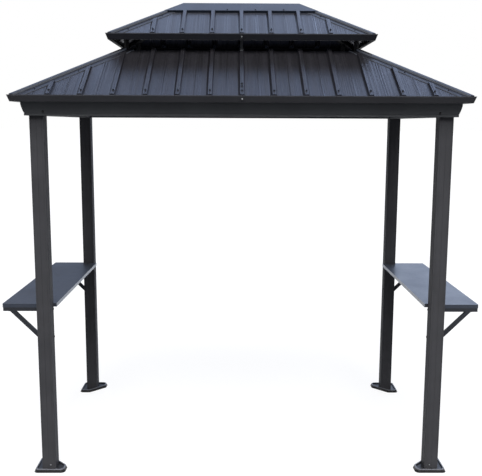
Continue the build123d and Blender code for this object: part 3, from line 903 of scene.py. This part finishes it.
class GAZEBO_OT_frame_bolts(Operator):
    """Bolt the beams, posts and brackets together, with screws at the feet and in the shelves"""

    bl_idname = "gazebo.frame_bolts"
    bl_label = "Frame bolts"
    bl_options = {"REGISTER", "UNDO"}

    def execute(self, context):
        finish = context.scene.gazebo_finish
        sizes = context.scene.gazebo_fastenings
        black = powder_coat("bolt_black", finish.bolt, 0.45, 0.3, SCREW_GRAINS)
        steel = bpy.data.materials["zinc"]
        bolt = button_bolt("bolt", sizes.bolt_head, black)
        screw = button_bolt("foot_screw", sizes.small_head, steel, 14)
        pan = button_bolt("shelf_screw", sizes.small_head, black, 14)
        for corner in CORNERS:
            depth, end = corner.split("_")
            y_sign = -1 if depth == "front" else 1
            x_sign = -1 if end == "left" else 1
            x, y = self.axis_of(f"post_{corner}")
            beam_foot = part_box(f"beam_{depth}")[0].z + sizes.bolt_up_beam
            across = x - x_sign * sizes.bolt_from_post
            along = y - y_sign * sizes.bolt_from_post
            places = [
                surface(f"beam_{depth}", (across, 2 * y, beam_foot), (0, -y_sign, 0)),
                surface(f"beam_{end}", (2 * x, along, beam_foot), (-x_sign, 0, 0))]
            place_copies(f"beam_bolts_{corner}", bolt, places)
            post, normal = surface(f"post_{corner}", (x + BESIDE_FLUTE, 2 * y, 0.5), (0, -y_sign, 0))
            point = Vector((x - x_sign * sizes.foot_screw_in, post.y, sizes.foot_screw_height))
            place_copies(f"foot_screw_{corner}", screw, [(point, normal)])
            arm_low, arm_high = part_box(f"shelf_bracket_{corner}")
            arm_y = (arm_low.y + arm_high.y) / 2
            inner, normal = surface(f"post_{corner}", (0.0, arm_y, 1.2), (x_sign, 0, 0))
            heights = (arm_high.z - ARM_BOLT_DOWN, arm_low.z + STRUT_BOLT_UP)
            places = [(Vector((inner.x, arm_y, height)), normal) for height in heights]
            place_copies(f"bracket_bolts_{corner}", bolt, places)
            reach = (arm_high.x if x_sign > 0 else arm_low.x) - x_sign * SHELF_SCREW_IN
            places = [surface(f"shelf_bracket_{corner}", (reach, arm_y, 0.1), (0, 0, 1))]
            place_copies(f"shelf_screw_{corner}", pan, places)
        for template in (bolt, screw, pan):
            discard(template)
        return {"FINISHED"}

    def axis_of(self, name):
        """Middle of a post in plan, from its upper half."""
        points = [v.co for v in frame["nodes"][name].data.vertices if v.co.z > 1.0]
        xs, ys = [p.x for p in points], [p.y for p in points]
        return (min(xs) + max(xs)) / 2, (min(ys) + max(ys)) / 2


class GAZEBO_OT_vent_stays(Operator):
    """Bend the two stays that hold the upper roof in the middle of the long vents"""

    bl_idname = "gazebo.vent_stays"
    bl_label = "Vent stays"
    bl_options = {"REGISTER", "UNDO"}

    def execute(self, context):
        finish = context.scene.gazebo_finish
        sizes = context.scene.gazebo_fastenings
        # The stays take the beams' paler colour, which is painted light
        coat = powder_coat("stay_coat", finish.beam, 0.55)
        for side in DEPTHS:
            vent_stay(side, sizes, coat)
        return {"FINISHED"}


class GAZEBO_OT_stage(Operator):
    """Set up the camera, the pale floor and the soft light"""

    bl_idname = "gazebo.stage"
    bl_label = "Studio"
    bl_options = {"REGISTER", "UNDO"}

    def execute(self, context):
        stage = context.scene.gazebo_stage
        self.camera(stage)
        self.floor(stage)
        self.sky(stage)
        bpy.context.scene.view_settings.view_transform = "Standard"
        return {"FINISHED"}

    def camera(self, stage):
        """Camera at the photograph's viewing angle."""
        data = bpy.data.cameras.new("camera")
        data.lens = stage.lens
        camera = bpy.data.objects.new("camera", data)
        bpy.context.scene.collection.objects.link(camera)
        turn = Matrix.Rotation(-stage.camera_yaw, 4, "Z")
        tilt = Matrix.Rotation(math.pi / 2 - stage.camera_pitch, 4, "X")
        lean = Matrix.Rotation(stage.camera_roll, 4, "Z")
        camera.matrix_world = Matrix.Translation(stage.camera_place) @ turn @ tilt @ lean
        bpy.context.scene.camera = camera

    def floor(self, stage):
        """Plane that looks pale and keeps the object's shadow, and sends little light back up."""
        start_piece()
        bpy.ops.mesh.primitive_plane_add(size=FLOOR_SIZE)
        floor = bpy.context.object
        floor.name = "floor"
        material = bpy.data.materials.new("studio_floor")
        material.use_nodes = True
        tree = material.node_tree
        tree.nodes.clear()
        ray = node(tree, "ShaderNodeLightPath").outputs
        seen = math_node(tree, "MAXIMUM", ray["Is Camera Ray"], ray["Is Glossy Ray"])
        seen = math_node(tree, "MAXIMUM", seen, ray["Is Transmission Ray"])
        bounce = node(tree, "ShaderNodeBsdfDiffuse", {"Color": (stage.floor_bounce,) * 3 + (1.0,)})
        shadow = node(tree, "ShaderNodeBsdfDiffuse", {"Color": (stage.floor_shadow,) * 3 + (1.0,)})
        glow = node(tree, "ShaderNodeEmission", {"Color": WHITE, "Strength": stage.floor_glow})
        pale = node(tree, "ShaderNodeAddShader", {0: shadow.outputs[0], 1: glow.outputs[0]})
        shown = node(tree, "ShaderNodeMixShader", {0: seen, 1: bounce.outputs[0], 2: pale.outputs[0]})
        node(tree, "ShaderNodeOutputMaterial", {"Surface": shown.outputs[0]})
        floor.data.materials.append(material)

    def sky(self, stage):
        """Dim room with soft lights in front, behind and at both sides; the camera sees white."""
        world = bpy.data.worlds.new("studio_light")
        bpy.context.scene.world = world
        world.use_nodes = True
        tree = world.node_tree
        tree.nodes.clear()
        direction = node(tree, "ShaderNodeTexCoord").outputs["Generated"]
        part = node(tree, "ShaderNodeSeparateXYZ", {0: direction}).outputs
        levels = (stage.room_side, stage.room_top)
        rise = remap(tree, part["Z"], (0.10, 0.70), levels, interpolation_type="SMOOTHSTEP")
        across = remap(tree, part["X"], (-0.5, 0.5), (stage.left_share, 1.0))
        level = math_node(tree, "MULTIPLY", rise, across)
        light = node(tree, "ShaderNodeBackground", {"Color": ROOM_TINT, "Strength": level}).outputs[0]
        for toward, tint, sharpness, strength in SOFT_LIGHTS:
            facing = vector_node(tree, "DOT_PRODUCT", direction, Vector(toward).normalized(), "Value")
            spread = math_node(tree, "POWER", math_node(tree, "MAXIMUM", facing, 0.0), sharpness)
            soft = node(tree, "ShaderNodeBackground", {
                "Color": tint, "Strength": math_node(tree, "MULTIPLY", spread, strength)})
            light = node(tree, "ShaderNodeAddShader", {0: light, 1: soft.outputs[0]}).outputs[0]
        white = node(tree, "ShaderNodeBackground", {"Color": WHITE, "Strength": 1.0})
        ray = node(tree, "ShaderNodeLightPath").outputs
        seen = math_node(tree, "MAXIMUM", ray["Is Camera Ray"], ray["Is Transmission Ray"])
        shown = node(tree, "ShaderNodeMixShader", {0: seen, 1: light, 2: white.outputs[0]})
        node(tree, "ShaderNodeOutputWorld", {"Surface": shown.outputs[0]})


class GAZEBO_PT_panel(Panel):
    """Finishes, fastenings and studio of the gazebo"""

    bl_label = "Metal gazebo"
    bl_space_type = "VIEW_3D"
    bl_region_type = "UI"
    bl_category = "Gazebo"

    def draw(self, context):
        column = self.layout.column()
        for step in STEPS:
            column.operator(step.bl_idname)
        scene = context.scene
        for settings in (scene.gazebo_finish, scene.gazebo_fastenings, scene.gazebo_stage):
            box = self.layout.box()
            for name in settings.__annotations__:
                box.prop(settings, name)


STEPS = (
    GAZEBO_OT_posts,
    GAZEBO_OT_beams,
    GAZEBO_OT_roof,
    GAZEBO_OT_shelves,
    GAZEBO_OT_roof_screws,
    GAZEBO_OT_cap_screws,
    GAZEBO_OT_trim_joints,
    GAZEBO_OT_frame_bolts,
    GAZEBO_OT_vent_stays,
    GAZEBO_OT_stage,
)
CLASSES = (GazeboFinish, GazeboFastenings, GazeboStage, *STEPS, GAZEBO_PT_panel)


def register():
    for cls in CLASSES:
        bpy.utils.register_class(cls)
    bpy.types.Scene.gazebo_finish = PointerProperty(type=GazeboFinish)
    bpy.types.Scene.gazebo_fastenings = PointerProperty(type=GazeboFastenings)
    bpy.types.Scene.gazebo_stage = PointerProperty(type=GazeboStage)


def unregister():
    del bpy.types.Scene.gazebo_stage
    del bpy.types.Scene.gazebo_fastenings
    del bpy.types.Scene.gazebo_finish
    for cls in reversed(CLASSES):
        bpy.utils.unregister_class(cls)


def main():
    register()
    build_groups()
    for step in STEPS:
        getattr(bpy.ops.gazebo, step.bl_idname.split(".")[1])()


if __name__ == "__main__":
    main()
